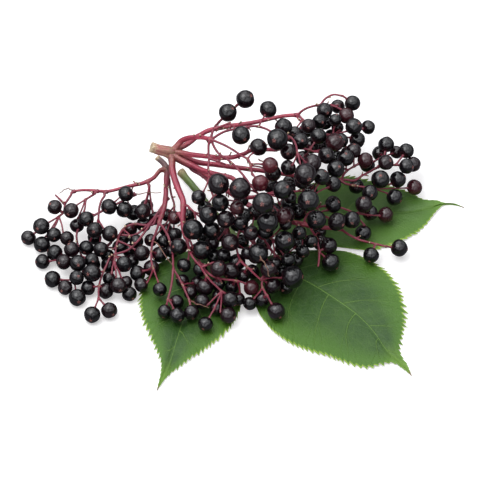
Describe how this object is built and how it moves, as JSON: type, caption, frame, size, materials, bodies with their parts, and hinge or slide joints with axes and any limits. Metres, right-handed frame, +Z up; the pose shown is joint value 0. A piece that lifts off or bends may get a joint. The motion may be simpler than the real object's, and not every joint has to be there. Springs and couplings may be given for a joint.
{
  "type": "elderberry cluster",
  "caption": "Bunch of ripe elderberries as picked: a main and a side flat-topped cyme on short cut stalks, lying on one compound leaf.",
  "frame": {"origin": "middle of the bunch's footprint, at the surface that it lies on", "axes": "+X along the bunch's longest side, from the side cyme to the right leaflet's tip; +Y away from the leaflet tips; +Z up"},
  "size_m": [0.1596, 0.1194, 0.0436],
  "materials": {
    "berry": "ripe elderberry skin: near black with a wine-red undertone, smooth, soft gloss, on thin raspberry-red pedicels",
    "stalk": "smooth raspberry to burgundy green-wood stalk, faintly ribbed, satin",
    "leaf": "mid-green leaf blade, satin, with paler veins and a finely toothed edge",
    "leaf_stalk": "pale green grooved leaf stalk, satin"
  },
  "bodies": {
    "root": {"main_stalk": "stalk", "ray_top": "stalk", "ray_back": "stalk", "ray_middle": "stalk", "ray_inner": "stalk", "ray_front": "stalk", "ray_low": "stalk", "ray_right": "stalk", "ray_deep": "stalk", "side_stalk": "stalk", "side_arm_left": "stalk", "spray_crown_left": "berry", "spray_crown_right": "berry", "spray_crown_middle": "berry", "spray_crown_front": "berry", "spray_inner_top": "berry", "spray_short": "berry", "spray_front_top": "berry", "spray_back_tip": "berry", "spray_back_right": "berry", "spray_back_left": "berry", "spray_middle_back": "berry", "spray_inner_right": "berry", "spray_right_upper": "berry", "spray_right_near": "berry", "spray_right_tip": "berry", "spray_right_side": "berry", "spray_right_front": "berry", "spray_low_right": "berry", "spray_low_leaf": "berry", "spray_low_far": "berry", "spray_low_middle": "berry", "spray_deep_right": "berry", "spray_deep_middle": "berry", "spray_deep_left": "berry", "spray_deep_front": "berry", "spray_under_right": "berry", "spray_under_middle": "berry", "spray_under_front": "berry", "spray_leaf_front": "berry", "spray_front_left": "berry", "spray_front_pink": "berry", "spray_front_red": "berry", "side_tip": "berry", "side_back": "berry", "side_hang": "berry", "side_top": "berry", "side_inner": "berry", "side_middle": "berry", "side_low_left": "berry", "side_low_end": "berry", "side_low_front": "berry", "side_near": "berry", "side_front": "berry", "side_heart": "berry", "leaf_stalk": "leaf_stalk", "leaflet_left": "leaf", "leaflet_end": "leaf", "leaflet_right": "leaf"}
  },
  "joints": []
}
